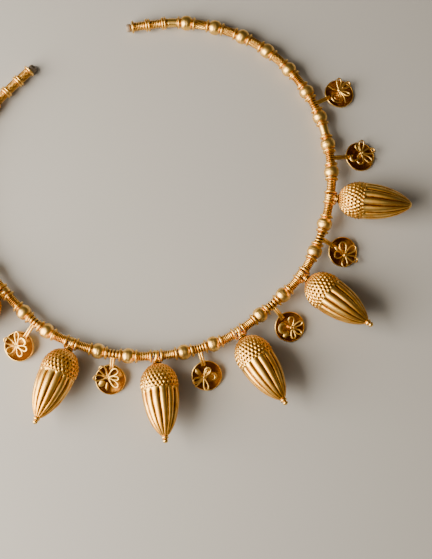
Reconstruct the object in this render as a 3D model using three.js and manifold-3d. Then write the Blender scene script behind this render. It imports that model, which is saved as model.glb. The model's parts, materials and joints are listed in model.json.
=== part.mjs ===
// Gold necklace of ribbed tubes and round beads, hung with six acorns and nine
// rosettes, lying loose in an open loop as it is put down on a table.
// Millimetres, +Z up. The origin is under the middle of the necklace, on the
// surface that it lies on.

import * as THREE from 'three';
import { mergeVertices } from 'three/addons/utils/BufferGeometryUtils.js';
import Module from 'manifold-3d';

const wasm = await Module();
wasm.setup();

// Clearance between neighbours on the strand.
const STRAND_GAP = 0.35;

// Tube beads: a ribbed barrel between two wire flanges.
const TUBE_LENGTH = 5.6;
const TUBE_RADIUS = 1.65;
const FLANGE_RADIUS = 2.35;
const FLANGE_WIDTH = 0.5;

// Round beads: burnished globes, a little flattened along the strand.
const BEAD_LENGTH = 4.3;
const BEAD_RADIUS = 2.75;
const BEAD_END_RADIUS = 1.45;

// The small dull bead at each end of the strand, with the hole for the tie.
const END_BEAD_LENGTH = 1.7;
const END_BEAD_RADIUS = 1.55;
const END_BEAD_FACE_RADIUS = 1.15;
const END_BEAD_BORE_RADIUS = 0.55;
const END_BEAD_SLACK = 0.3;
const END_BEAD_TIPS = { right: 0, left: 35 };

// Rosettes: a dished disc with a six-petalled flower, on a strip from its own tube.
const ROSETTE_TUBE_LENGTH = 5.6;
const DISC_RADIUS = 5.35;
const DISC_BACK = 0.45;
const DISC_RIM_HEIGHT = 0.5;
const DISC_RIM_WIDTH = 0.45;
const DISC_FLOOR_HEIGHT = 0.1;
const STRIP_WIDTH = 1.7;
const STRIP_THICKNESS = 0.6;
const PETALS = 6;
const PETAL_REACH = 4.2;
const PETAL_VALLEY = 1.7;
const PETAL_HEIGHT = 1.5;
const BOSS_RADIUS = 0.8;
const BOSS_HEIGHT = 2.1;

// Acorns: a loop of two thick coils, a scaly cap, a lobed nut and a knop at the tip.
const ACORN_LOOP_LENGTH = 2.4;
const ACORN_LOOP_RADIUS = 2;
const ACORN_LOOP_GROOVE = 0.4;
const ACORN_LOOP_COILS = 2;
const ACORN_NECK_RADIUS = 1.25;
const CAP_START = 2.85;
const CAP_LENGTH = 9.6;
const CAP_RADIUS = 6.6;
const CAP_RIM_RADIUS = 6.35;
const CAP_SIDES = 12;
const SCALE_RELIEF = 0.2;
const NUT_LENGTH = 16.5;
const NUT_RADIUS = 6.1;
const CAP_OVERLAP = 0.4;
const NUT_LOBES = 13;
const LOBE_DEPTH = 0.5;
const KNOP_LENGTH = 1.9;
const KNOP_RADIUS = 0.95;
const ACORNS_WITHOUT_KNOP = [0];
const FLAT_SPOT_DEPTH = 0.3;

// Sides of the round sections on the strand.
const STRAND_SIDES = 8;

// The strand, where a word is one solid: e end bead, t tube, b round bead, r rosette,
// a acorn. Each half runs from its end to the bead beside the middle rosette.
const RIGHT_BACK = 'e tt tb tb tb tb tb tb';
const LEFT_BACK = 'e tt tb tb tb tb';
const FRONT = 'r bt b r b t a t b r b t a t b r b t a t b';

// How far each pendant swings from square to the strand, in degrees.
const ACORN_SWINGS = [1, -2, -1, 3, -1, -4];
const ROSETTE_SWINGS = [-0.5, 0.6, -9, 0, 1, 2, 4, -3, 2];

// How far the middle of each disc is from the strand: the strips are bent unevenly.
const ROSETTE_REACHES = [10.5, 11.1, 9.7, 10, 9.9, 9, 10.3, 10, 10];

// Where each flower sits from the middle of its disc: outwards, then sideways.
const FLOWER_SHIFTS = [
  [0.2, 0.8], [0.3, 1.0], [0.9, -0.8], [0.6, 0.2], [0.2, -1.1],
  [-0.9, -0.8], [0, -0.5], [0.4, 0.5], [-0.3, 0.6],
];

// The line in which the strand lies, from its right end round to its left one.
const LAY = [
  [-33.1, 94], [-11.7, 95.6], [8.1, 90.9], [24.6, 79.6], [36.2, 62.7], [41, 42.5], [39, 22.5],
  [31, 3.2], [17.8, -10.4], [2.6, -21.3], [-18.6, -26.7], [-38.9, -25.6], [-58.7, -18.1],
  [-74, -4.1], [-82.9, 8.7], [-88.3, 22.4], [-89.8, 36.9], [-87.2, 50.9], [-80.4, 63.9], [-66.2, 79.2],
];

// The step for measuring the strand's direction at a point.
const FRAME_STEP = 0.05;

// How far acorns lift the strand, and over what length on either side.
const ACORN_LIFT = 1.9;
const LIFT_REACH = 26;
const END_DROP_REACH = 20;

const GOLD = new THREE.MeshStandardMaterial({ color: 0xd9a441, roughness: 0.3, metalness: 1 });
const PALE_GOLD = new THREE.MeshStandardMaterial({ color: 0xe6b558, roughness: 0.24, metalness: 1 });
const TARNISH = new THREE.MeshStandardMaterial({ color: 0x6b5a45, roughness: 0.6, metalness: 0.4 });

// Radius of a regular section with the area of the round one.
function facetRadius(radius, sides) {
  const step = (2 * Math.PI) / sides;
  return radius * Math.sqrt(step / Math.sin(step));
}

// A turned form about +Y from [radius, height] pairs.
function turned(profile, sides, start = Math.PI / sides) {
  const points = profile.map(([radius, height]) => new THREE.Vector2(facetRadius(radius, sides), height));
  return new THREE.LatheGeometry(points, sides, start);
}

// Moves each point of a turned form: shape(radius, height, angle) gives the new radius.
function carve(geometry, shape) {
  const position = geometry.getAttribute('position');
  for (let i = 0; i < position.count; i += 1) {
    const radius = Math.hypot(position.getX(i), position.getZ(i));
    const angle = Math.atan2(position.getX(i), position.getZ(i));
    const scale = radius > 0 ? shape(radius, position.getY(i), angle) / radius : 1;
    position.setX(i, position.getX(i) * scale);
    position.setZ(i, position.getZ(i) * scale);
  }
  return geometry;
}

function toSolid(geometry) {
  const bare = geometry.clone();
  bare.deleteAttribute('normal');
  bare.deleteAttribute('uv');
  const merged = mergeVertices(bare, 1e-4);
  const index = merged.getIndex().array;
  const corners = [];
  for (let i = 0; i < index.length; i += 3) {
    const [a, b, c] = [index[i], index[i + 1], index[i + 2]];
    if (a !== b && b !== c && c !== a) corners.push(a, b, c);
  }
  return new wasm.Manifold(new wasm.Mesh({
    numProp: 3,
    vertProperties: new Float32Array(merged.getAttribute('position').array),
    triVerts: new Uint32Array(corners),
  }));
}

function toGeometry(solid) {
  const mesh = solid.getMesh();
  const geometry = new THREE.BufferGeometry();
  geometry.setAttribute('position', new THREE.BufferAttribute(mesh.vertProperties, 3));
  geometry.setIndex(new THREE.BufferAttribute(mesh.triVerts, 1));
  geometry.computeVertexNormals();
  return geometry;
}

// Profiles along the strand, each starting at height `from`.
function tubeProfile(from, length) {
  const to = from + length;
  return [
    [FLANGE_RADIUS, from],
    [TUBE_RADIUS, from + FLANGE_WIDTH],
    [TUBE_RADIUS, to - FLANGE_WIDTH],
    [FLANGE_RADIUS, to],
  ];
}

function beadProfile(from, length) {
  const waist = length / 3;
  return [
    [BEAD_END_RADIUS, from],
    [BEAD_RADIUS, from + waist],
    [BEAD_RADIUS, from + length - waist],
    [BEAD_END_RADIUS, from + length],
  ];
}

function endBeadGeometry() {
  const half = END_BEAD_LENGTH / 2;
  const outer = facetRadius(1, STRAND_SIDES);
  const ring = [
    [END_BEAD_BORE_RADIUS, -half], [END_BEAD_FACE_RADIUS, -half], [END_BEAD_RADIUS, 0],
    [END_BEAD_FACE_RADIUS, half], [END_BEAD_BORE_RADIUS, half], [END_BEAD_BORE_RADIUS, -half],
  ];
  const points = ring.map(([radius, height]) => new THREE.Vector2(radius * outer, height));
  return new THREE.LatheGeometry(points, STRAND_SIDES, Math.PI / STRAND_SIDES);
}

const LENGTHS = {
  e: END_BEAD_LENGTH + END_BEAD_SLACK,
  t: TUBE_LENGTH,
  b: BEAD_LENGTH,
  r: ROSETTE_TUBE_LENGTH,
  a: ACORN_LOOP_LENGTH,
};

function wordLength(word) {
  const sum = [...word].reduce((total, letter) => total + LENGTHS[letter], 0);
  return sum + (word.length - 1) * STRAND_GAP;
}

// A length of tubes and beads, each soldered to the next, turned about +Y.
function strandGeometry(word) {
  let from = -wordLength(word) / 2;
  const profile = [[0, from]];
  for (const letter of word) {
    profile.push(...(letter === 't' ? tubeProfile : beadProfile)(from, LENGTHS[letter]));
    from += LENGTHS[letter] + STRAND_GAP;
  }
  profile.push([0, -profile[0][1]]);
  return turned(profile, STRAND_SIDES);
}

// The turn about a pendant's strand that sets its lowest point at the given height.
function turnToRest(geometry, height) {
  const position = geometry.getAttribute('position');
  let low = -0.7;
  let high = 0.7;
  for (let step = 0; step < 40; step += 1) {
    const turn = (low + high) / 2;
    let bottom = Infinity;
    for (let i = 0; i < position.count; i += 1) {
      bottom = Math.min(bottom, position.getZ(i) * Math.cos(turn) - position.getX(i) * Math.sin(turn));
    }
    if (bottom > height) low = turn;
    else high = turn;
  }
  return (low + high) / 2;
}

// Level sideways and upward directions beside a direction along the strand.
function frameBeside(along) {
  const side = new THREE.Vector3(along.y, -along.x, 0).normalize();
  return { side, up: new THREE.Vector3().crossVectors(side, along) };
}

// A turned piece that is threaded straight on the strand.
function threaded(geometry, along) {
  const { side, up } = frameBeside(along);
  return geometry.applyMatrix4(new THREE.Matrix4().makeBasis(side, along, up));
}

function discGeometry(reach, [outwards, sideways]) {
  const sides = 2 * PETALS;
  const inner = DISC_RADIUS - DISC_RIM_WIDTH;
  const geometry = turned([
    [0, -DISC_BACK],
    [DISC_RADIUS, -DISC_BACK],
    [DISC_RADIUS, DISC_RIM_HEIGHT],
    [inner, DISC_RIM_HEIGHT],
    [PETAL_REACH, DISC_FLOOR_HEIGHT],
    [PETAL_REACH, PETAL_HEIGHT],
    [BOSS_RADIUS, PETAL_HEIGHT],
    [0, BOSS_HEIGHT],
  ], sides, 0);
  const petalEnd = facetRadius(PETAL_REACH, sides);
  carve(geometry, (radius, height, angle) => {
    const onPetal = Math.abs(radius - petalEnd) < 1e-3;
    const inValley = Math.cos(PETALS * angle) < 0;
    return onPetal && inValley ? PETAL_VALLEY : radius;
  });
  geometry.rotateX(Math.PI / 2);
  const position = geometry.getAttribute('position');
  for (let i = 0; i < position.count; i += 1) {
    const share = Math.max(0, position.getZ(i) - DISC_RIM_HEIGHT) / (PETAL_HEIGHT - DISC_RIM_HEIGHT);
    position.setX(i, position.getX(i) + Math.min(1, share) * outwards);
    position.setY(i, position.getY(i) + Math.min(1, share) * sideways);
  }
  return geometry.translate(reach, 0, 0);
}

function rosetteGeometry(height, direction, reach, shift) {
  const disc = discGeometry(reach, shift);
  const turn = turnToRest(disc, -height);
  const stripEnd = reach - DISC_RADIUS + DISC_RIM_WIDTH + STRIP_WIDTH / 2;
  const strip = new THREE.BoxGeometry(stripEnd - TUBE_RADIUS / 2, STRIP_WIDTH, STRIP_THICKNESS);
  strip.translate((stripEnd + TUBE_RADIUS / 2) / 2, 0, 0);
  const half = ROSETTE_TUBE_LENGTH / 2;
  const tube = turned([[0, -half], ...tubeProfile(-half, ROSETTE_TUBE_LENGTH), [0, half]], STRAND_SIDES);
  const pendant = toSolid(disc.rotateY(turn)).add(toSolid(strip.rotateY(turn)));
  return toGeometry(pendant.add(toSolid(threaded(tube, direction))));
}

// Cap of the acorn: its dome is an ellipse that is widest above the rim.
function capGeometry() {
  const widest = CAP_LENGTH * 0.78;
  const rings = [0.1, 0.3, 0.62, 1].map((share) => {
    const radius = CAP_RADIUS * Math.sqrt(1 - (1 - share) ** 2);
    return [radius, CAP_START + widest * share];
  });
  const geometry = turned([
    [0, TUBE_RADIUS / 2],
    [ACORN_NECK_RADIUS, TUBE_RADIUS / 2],
    [ACORN_NECK_RADIUS, CAP_START],
    ...rings,
    [CAP_RIM_RADIUS, CAP_START + CAP_LENGTH],
    [0, CAP_START + CAP_LENGTH],
  ], CAP_SIDES, 0);
  return carve(geometry, (radius, height, angle) => {
    if (height < CAP_START + 0.2 * widest) return radius;
    const row = Math.round((height - CAP_START) / (0.35 * widest));
    const column = Math.round((angle * CAP_SIDES) / (2 * Math.PI));
    return radius + ((row + column) % 2 === 0 ? SCALE_RELIEF : -SCALE_RELIEF);
  });
}

// Nut of the acorn: rounded lobes that run together at the tip, and the knop on it,
// or the small flat where the knop has broken off.
function nutGeometry(hasKnop) {
  const start = CAP_START + CAP_LENGTH;
  const tip = start + NUT_LENGTH;
  const rings = [0.15, 0.5, 0.8].map((share) => [
    NUT_RADIUS * (1 - share ** 2.1) ** 0.75,
    start + NUT_LENGTH * share,
  ]);
  const knop = [[KNOP_RADIUS, tip + KNOP_LENGTH / 2], [0, tip + KNOP_LENGTH]];
  const geometry = turned([
    [0, start - CAP_OVERLAP],
    [NUT_RADIUS - LOBE_DEPTH, start - CAP_OVERLAP],
    ...rings,
    [KNOP_RADIUS / 2, tip],
    ...(hasKnop ? knop : [[0, tip]]),
  ], 2 * NUT_LOBES, 0);
  return carve(geometry, (radius, height, angle) => {
    const isLobed = height < tip - KNOP_LENGTH / 2;
    const depth = isLobed ? LOBE_DEPTH * Math.min(1, radius / NUT_RADIUS) : 0;
    return radius + (depth / 2) * Math.cos(NUT_LOBES * angle);
  });
}

// Loop of the acorn: coils side by side on the strand.
function loopGeometry() {
  const coil = ACORN_LOOP_LENGTH / ACORN_LOOP_COILS;
  const from = -ACORN_LOOP_LENGTH / 2;
  const valley = ACORN_LOOP_RADIUS - ACORN_LOOP_GROOVE;
  const profile = [[0, from], [valley, from]];
  for (let i = 0; i < ACORN_LOOP_COILS; i += 1) {
    profile.push([ACORN_LOOP_RADIUS, from + (i + 0.5) * coil]);
    profile.push([valley, from + (i + 1) * coil]);
  }
  profile.push([0, -from]);
  return turned(profile, STRAND_SIDES);
}

function acornGeometry(height, direction, hasKnop) {
  const cap = capGeometry().rotateZ(-Math.PI / 2);
  const nut = nutGeometry(hasKnop).rotateZ(-Math.PI / 2);
  const turn = turnToRest(cap, -height - FLAT_SPOT_DEPTH);
  const body = toSolid(cap.rotateY(turn)).add(toSolid(nut.rotateY(turn)));
  const loop = toSolid(threaded(loopGeometry(), direction));
  const reach = 2 * (CAP_START + CAP_LENGTH + NUT_LENGTH + KNOP_LENGTH);
  const ground = new THREE.BoxGeometry(reach, reach, reach);
  ground.translate(0, 0, -height - reach / 2);
  return toGeometry(body.add(loop).subtract(toSolid(ground)));
}

// The whole strand: the right half, the middle rosette, and the left half reversed.
const leftHalf = `${LEFT_BACK} ${FRONT}`.split(' ').map((word) => [...word].reverse().join(''));
const words = [...`${RIGHT_BACK} ${FRONT}`.split(' '), 'r', ...leftHalf.reverse()];
const strandLength = words.reduce((sum, word) => sum + wordLength(word), 0) + (words.length - 1) * STRAND_GAP;

// The lay at the strand's own length.
function layCurve(scale) {
  const points = LAY.map(([x, y]) => new THREE.Vector3(x * scale, y * scale, 0));
  const curve = new THREE.CatmullRomCurve3(points, false, 'catmullrom', 0.5);
  curve.arcLengthDivisions = 2000;
  return curve;
}
const lay = layCurve(strandLength / layCurve(1).getLength());

// The place of each word along the strand.
let reached = 0;
const places = words.map((word) => {
  const start = reached;
  reached += wordLength(word) + STRAND_GAP;
  return { word, start, middle: start + wordLength(word) / 2, end: start + wordLength(word) };
});
const acornMiddles = places.filter(({ word }) => word === 'a').map(({ middle }) => middle);

// A soft rise that is 1 at zero distance and 0 from `reach` on.
function rise(distance, reach) {
  const share = Math.min(1, Math.abs(distance) / reach);
  return Math.cos((share * Math.PI) / 2) ** 2;
}

// The strand's own point at a distance along it.
function strandPoint(distance) {
  const point = lay.getPointAt(THREE.MathUtils.clamp(distance / strandLength, 0, 1));
  const lifts = acornMiddles.map((middle) => ACORN_LIFT * rise(distance - middle, LIFT_REACH));
  const toEnd = Math.min(distance, strandLength - distance);
  const drop = (BEAD_RADIUS - FLANGE_RADIUS) * rise(toEnd, END_DROP_REACH);
  point.z = BEAD_RADIUS + lifts.reduce((sum, lift) => sum + lift, 0) - drop;
  return point;
}

function strandFrame(distance) {
  const along = strandPoint(distance + FRAME_STEP).sub(strandPoint(distance - FRAME_STEP)).normalize();
  return frameBeside(along);
}

// Lays a turned length along the strand: each ring square to it at its own place.
function laid(geometry, middle) {
  const centre = strandPoint(middle);
  const position = geometry.getAttribute('position');
  for (let i = 0; i < position.count; i += 1) {
    const distance = middle + position.getY(i);
    const { side, up } = strandFrame(distance);
    const point = strandPoint(distance).sub(centre);
    point.addScaledVector(side, position.getX(i)).addScaledVector(up, position.getZ(i));
    position.setXYZ(i, point.x, point.y, point.z);
  }
  return geometry;
}

const necklace = new THREE.Group();
const counts = {};

function addPiece(name, geometry, material) {
  const mesh = new THREE.Mesh(geometry, material);
  mesh.name = name;
  necklace.add(mesh);
  return mesh;
}

function numbered(name) {
  counts[name] = (counts[name] ?? 0) + 1;
  return `${name}_${counts[name]}`;
}

function addEndBead(place, middle, along) {
  const side = place.start === 0 ? 'right' : 'left';
  const bead = addPiece(`end_bead_${side}`, endBeadGeometry(), TARNISH);
  bead.geometry.rotateX(THREE.MathUtils.degToRad(END_BEAD_TIPS[side]));
  threaded(bead.geometry, new THREE.Vector3(along.x, along.y, 0).normalize());
  bead.geometry.computeBoundingBox();
  bead.position.set(middle.x, middle.y, -bead.geometry.boundingBox.min.z);
}

function addPendant(place, middle, along) {
  const isAcorn = place.word === 'a';
  const number = (counts[isAcorn ? 'acorn' : 'rosette'] ?? 0);
  const swing = (isAcorn ? ACORN_SWINGS : ROSETTE_SWINGS)[number];
  const yaw = Math.atan2(along.x, -along.y) + THREE.MathUtils.degToRad(swing);
  const direction = along.clone().applyAxisAngle(new THREE.Vector3(0, 0, 1), -yaw);
  const geometry = isAcorn
    ? acornGeometry(middle.z, direction, !ACORNS_WITHOUT_KNOP.includes(number))
    : rosetteGeometry(middle.z, direction, ROSETTE_REACHES[number], FLOWER_SHIFTS[number]);
  const piece = addPiece(numbered(isAcorn ? 'acorn' : 'rosette'), geometry, GOLD);
  piece.position.copy(middle);
  piece.rotation.z = yaw;
}

function strandName({ word, start }) {
  if (word === 't') return numbered('tube');
  if (word === 'b') return numbered('bead');
  if (word === 'tt') return `end_tubes_${start < strandLength / 2 ? 'right' : 'left'}`;
  return numbered('tube_and_bead');
}

function addStrandPiece(place) {
  const material = place.word === 'b' ? PALE_GOLD : GOLD;
  const piece = addPiece(strandName(place), laid(strandGeometry(place.word), place.middle), material);
  piece.position.copy(strandPoint(place.middle));
}

for (const place of places) {
  const from = strandPoint(place.start);
  const to = strandPoint(place.end);
  const middle = from.clone().lerp(to, 0.5);
  const along = to.clone().sub(from).normalize();
  if (place.word === 'e') addEndBead(place, middle, along);
  else if (place.word === 'a' || place.word === 'r') addPendant(place, middle, along);
  else addStrandPiece(place);
}

// The origin goes under the middle of the whole.
necklace.updateMatrixWorld(true);
const box = new THREE.Box3().setFromObject(necklace, true);
necklace.position.set(-(box.min.x + box.max.x) / 2, -(box.min.y + box.max.y) / 2, -box.min.z);

export default necklace;
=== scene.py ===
# %% [markdown]
# # A gold necklace with acorns and rosettes
# The real necklace is a string of small hollow gold beads: ribbed tubes between wire
# flanges, and round beads between them. At the front it carries six acorns and nine
# flat rosettes. The CAD model gives every piece its place and size. Here each piece
# gets its worked surface, in millimetres first, and in metres when it is placed.

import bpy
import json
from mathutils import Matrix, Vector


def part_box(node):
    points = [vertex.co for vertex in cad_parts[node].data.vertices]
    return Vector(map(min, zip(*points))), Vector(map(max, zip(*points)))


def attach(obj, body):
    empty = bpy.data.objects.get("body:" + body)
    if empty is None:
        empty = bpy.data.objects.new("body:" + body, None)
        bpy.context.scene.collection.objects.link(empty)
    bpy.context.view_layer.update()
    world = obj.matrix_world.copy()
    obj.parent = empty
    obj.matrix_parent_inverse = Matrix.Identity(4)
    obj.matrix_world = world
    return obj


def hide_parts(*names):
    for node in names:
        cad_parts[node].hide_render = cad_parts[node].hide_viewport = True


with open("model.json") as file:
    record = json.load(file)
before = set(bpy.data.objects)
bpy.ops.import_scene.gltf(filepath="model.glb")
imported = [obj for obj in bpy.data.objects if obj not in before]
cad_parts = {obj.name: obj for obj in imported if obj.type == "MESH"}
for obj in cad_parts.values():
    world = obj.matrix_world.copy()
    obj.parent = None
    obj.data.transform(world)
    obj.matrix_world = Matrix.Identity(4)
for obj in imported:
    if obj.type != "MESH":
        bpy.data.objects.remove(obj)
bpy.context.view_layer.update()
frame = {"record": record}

# %% Tools
import json
import math
from bisect import bisect_right
from functools import cache

import bmesh
import bpy
from mathutils import Matrix, Vector, noise
from mathutils.geometry import interpolate_bezier

MM = 0.001
TAU = math.tau
NOISE_SEED = 5

# The noise starts from the clock unless it is given a seed.
noise.seed_set(NOISE_SEED)

# %% [markdown]
# ## The line of the strand
# A strand lies in one smooth curve, and its beads follow it one after another. The
# curve could be a Blender curve object, but the beads need to ask it for a place at
# any distance. So it is a plain list of short steps through given points, and
# its length is scaled until the beads fill it from end to end.

# %% The order of the beads
STRAND_GAP = 0.35
LENGTHS = {"e": 2.0, "t": 5.6, "b": 4.3, "r": 5.6, "a": 2.4}
RIGHT_BACK = "e tt tb tb tb tb tb tb"
LEFT_BACK = "e tt tb tb tb tb"
FRONT = "r bt b r b t a t b r b t a t b r b t a t b"
left_half = [word[::-1] for word in f"{LEFT_BACK} {FRONT}".split()]
words = f"{RIGHT_BACK} {FRONT} r".split() + left_half[::-1]
letters = "".join(words)
strand_length = sum(LENGTHS[letter] + STRAND_GAP for letter in letters) - STRAND_GAP
print(len(letters), "pieces on a strand of", round(strand_length, 2), "mm")

# %% The lay of the strand
LAY = [
    (-33.1, 94), (-11.7, 95.6), (8.1, 90.9), (24.6, 79.6), (36.2, 62.7), (41, 42.5), (39, 22.5),
    (31, 3.2), (17.8, -10.4), (2.6, -21.3), (-18.6, -26.7), (-38.9, -25.6), (-58.7, -18.1),
    (-74, -4.1), (-82.9, 8.7), (-88.3, 22.4), (-89.8, 36.9), (-87.2, 50.9), (-80.4, 63.9), (-66.2, 79.2),
]
LAY_STEPS = 120


def smooth_line(points):
    """Short steps along the smooth curve that passes through the points."""
    outer = [2 * points[0] - points[1], *points, 2 * points[-1] - points[-2]]
    line = []
    for before, start, end, after in zip(outer, outer[1:], outer[2:], outer[3:]):
        leave = start + (end - before) / 6
        arrive = end - (after - start) / 6
        line += interpolate_bezier(start, leave, arrive, end, LAY_STEPS)[:-1]
    return line + [points[-1]]


def distances_along(line):
    reached = [0.0]
    for start, end in zip(line, line[1:]):
        reached.append(reached[-1] + (end - start).length)
    return reached


lay = smooth_line([Vector((x, y, 0)) for x, y in LAY])
lay_scale = strand_length / distances_along(lay)[-1]
lay = [point * lay_scale for point in lay]
lay_distances = distances_along(lay)
print("lay scaled by", round(lay_scale, 4))

# %% The place of each bead
BEAD_RADIUS = 2.75
FLANGE_RADIUS = 2.35
ACORN_LIFT = 1.9
LIFT_REACH = 26
END_DROP_REACH = 20


def bead_starts():
    """The distance along the strand at which each bead starts."""
    starts = [0.0]
    for letter in letters[:-1]:
        starts.append(starts[-1] + LENGTHS[letter] + STRAND_GAP)
    return starts


starts = bead_starts()
acorn_middles = [s + LENGTHS["a"] / 2 for s, letter in zip(starts, letters) if letter == "a"]


def rise(distance, reach):
    """A soft hump: 1 at no distance, and 0 from the reach on."""
    share = min(1, abs(distance) / reach)
    return math.cos(share * math.pi / 2) ** 2


@cache
def strand_point(distance):
    """The middle of the strand at a distance along it. The fat acorns lift it."""
    along = min(max(distance, 0), strand_length)
    step = min(bisect_right(lay_distances, along), len(lay) - 1)
    before, after = lay_distances[step - 1], lay_distances[step]
    point = lay[step - 1].lerp(lay[step], (along - before) / (after - before))
    drop = (BEAD_RADIUS - FLANGE_RADIUS) * rise(min(distance, strand_length - distance), END_DROP_REACH)
    lift = sum(ACORN_LIFT * rise(distance - middle, LIFT_REACH) for middle in acorn_middles)
    return Vector((point.x, point.y, BEAD_RADIUS + lift - drop))


def frame_beside(along):
    """Turns a form that stands on +Y to run along a direction, its +Z nearly up."""
    side = Vector((along.y, -along.x, 0)).normalized()
    return Matrix((side, along, side.cross(along))).transposed()


FRAME_STEP = 0.05


@cache
def strand_frame(distance):
    along = strand_point(distance + FRAME_STEP) - strand_point(distance - FRAME_STEP)
    return frame_beside(along.normalized())


# %% The shift into the frame
def middle_of(node):
    low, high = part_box(node)
    return (low + high) / 2 / MM


def find_shift():
    """The mean step from the lay's own places to the CAD's, by the single round beads."""
    number = 0
    steps = []
    at = 0
    for word in words:
        if word == "b":
            number += 1
            middle = strand_point(starts[at] + LENGTHS["b"] / 2)
            steps.append(middle_of(f"bead_{number}") - middle)
        at += len(word)
    mean = sum(steps, Vector()) / len(steps)
    print("furthest bead from its place", round(max((s - mean).length for s in steps), 3), "mm")
    return Vector((mean.x, mean.y, 0))


shift = find_shift()
print("shift", shift, "mm")

# %% [markdown]
# ## The studio
# The camera looks steeply down on the necklace from the side of the front pendants.
# Polished metal shows whatever surrounds it, so the light matters more than the
# colour: one broad low light on the left draws a bright edge on each form, a weak one
# overhead lifts the shadows, and a dim world leaves the middle tones deep and warm.

# %% Camera
CAMERA_DISTANCE = 385
CAMERA_ELEVATION = math.radians(80)
CAMERA_TARGET = Vector((0, 0, 4))
SENSOR = 36
IMAGE_HEIGHT = 559
FOCAL_PIXELS = 1100
NEAREST = 0.01


def add_camera():
    data = bpy.data.cameras.new("camera")
    data.sensor_width = SENSOR
    data.lens = FOCAL_PIXELS / IMAGE_HEIGHT * SENSOR
    data.clip_start = NEAREST
    camera = bpy.data.objects.new("camera", data)
    back = Vector((0, -math.cos(CAMERA_ELEVATION), math.sin(CAMERA_ELEVATION)))
    camera.location = (CAMERA_TARGET + shift + CAMERA_DISTANCE * back) * MM
    camera.rotation_euler = (math.pi / 2 - CAMERA_ELEVATION, 0, 0)
    bpy.context.scene.collection.objects.link(camera)
    bpy.context.scene.camera = camera
    return camera


camera = add_camera()
print("camera at", camera.location, "with a lens of", round(camera.data.lens, 1), "mm")

# %% Lights and floor
# The places and sizes of the lights and the floor are in metres.
KEY_LIGHT = {"place": (-0.36, -0.11, 0.21), "size": 0.44, "power": 8.5, "colour": (1.0, 0.91, 0.77)}
FILL_LIGHT = {"place": (-0.10, -0.12, 0.45), "size": 0.50, "power": 0.4, "colour": (1.0, 0.86, 0.66)}
WORLD_COLOUR = (1.0, 0.86, 0.70)
WORLD_STRENGTH = 0.05
FLOOR_COLOUR = (0.43, 0.42, 0.405)
FLOOR_ROUGHNESS = 0.9
FLOOR_HALF = 1.5


def add_light(name, place, size, power, colour):
    data = bpy.data.lights.new(name, "AREA")
    data.size = size
    data.energy = power
    data.color = colour
    light = bpy.data.objects.new(name, data)
    light.location = place
    light.rotation_euler = (-Vector(place)).to_track_quat("-Z", "Y").to_euler()
    bpy.context.scene.collection.objects.link(light)


def add_world():
    world = bpy.data.worlds.new("studio")
    world.use_nodes = True
    background = world.node_tree.nodes["Background"]
    background.inputs["Color"].default_value = (*WORLD_COLOUR, 1)
    background.inputs["Strength"].default_value = WORLD_STRENGTH
    bpy.context.scene.world = world


def add_floor():
    bm = bmesh.new()
    bmesh.ops.create_grid(bm, x_segments=1, y_segments=1, size=FLOOR_HALF)
    mesh = bpy.data.meshes.new("floor")
    bm.to_mesh(mesh)
    bm.free()
    paint = bpy.data.materials.new("pale floor")
    paint.use_nodes = True
    shader = paint.node_tree.nodes["Principled BSDF"]
    shader.inputs["Base Color"].default_value = (*FLOOR_COLOUR, 1)
    shader.inputs["Roughness"].default_value = FLOOR_ROUGHNESS
    mesh.materials.append(paint)
    floor = bpy.data.objects.new("floor", mesh)
    bpy.context.scene.collection.objects.link(floor)


add_light("key light", **KEY_LIGHT)
add_light("fill light", **FILL_LIGHT)
add_world()
add_floor()
print("two lights, a dim world and a pale floor")

# %% [markdown]
# ## Gold
# Old gold isn't one colour, and here light and shade are painted into it too. Raised
# edges are painted pale, a painted highlight on rubbed gold, flat places are a warm yellow,
# and grooves are painted dark, painted shade over a brown film. Each mesh carries a value
# named hollow at its vertices: how deep a point lies below its surroundings, plus a tone
# that some forms are given. A colour ramp turns it into those three tones. Noise on Object
# coordinates breaks up their edges and gives the bump, and the roughness follows them.

# %% Node helpers
def add_node(tree, kind, **settings):
    node = tree.nodes.new(kind)
    for name, value in settings.items():
        setattr(node, name, value)
    return node


def add_noise(tree, coordinates, size_mm, detail):
    """Noise whose patches are about size_mm across."""
    node = add_node(tree, "ShaderNodeTexNoise")
    node.inputs["Scale"].default_value = 1 / (size_mm * MM)
    node.inputs["Detail"].default_value = detail
    tree.links.new(coordinates, node.inputs["Vector"])
    return node.outputs["Fac"]


def add_range(tree, value, source, target):
    node = add_node(tree, "ShaderNodeMapRange")
    for name, number in zip(("From Min", "From Max", "To Min", "To Max"), (*source, *target)):
        node.inputs[name].default_value = number
    tree.links.new(value, node.inputs["Value"])
    return node.outputs["Result"]


def add_sum(tree, first, second):
    node = add_node(tree, "ShaderNodeMath", operation="ADD")
    tree.links.new(first, node.inputs[0])
    tree.links.new(second, node.inputs[1])
    return node.outputs["Value"]


def add_ramp(tree, value, stops):
    node = add_node(tree, "ShaderNodeValToRGB")
    ramp = node.color_ramp
    while len(ramp.elements) < len(stops):
        ramp.elements.new(0.5)
    for element, (position, colour) in zip(ramp.elements, stops):
        element.position = position
        element.color = (*colour, 1)
    tree.links.new(value, node.inputs["Fac"])
    return node.outputs["Color"]


# %% The gold and the tarnish
CLOUD_SIZE = 3.5
GRAIN_SIZE = 0.35
GRAIN_SHIFT = 0.12
NOISE_RANGE = (0.3, 0.7)
TONE_STOPS = (0.18, 0.5, 0.86)
GLOSS_RANGE = (0.2, 0.9)
BUMP_STRENGTH = 0.6


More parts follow.
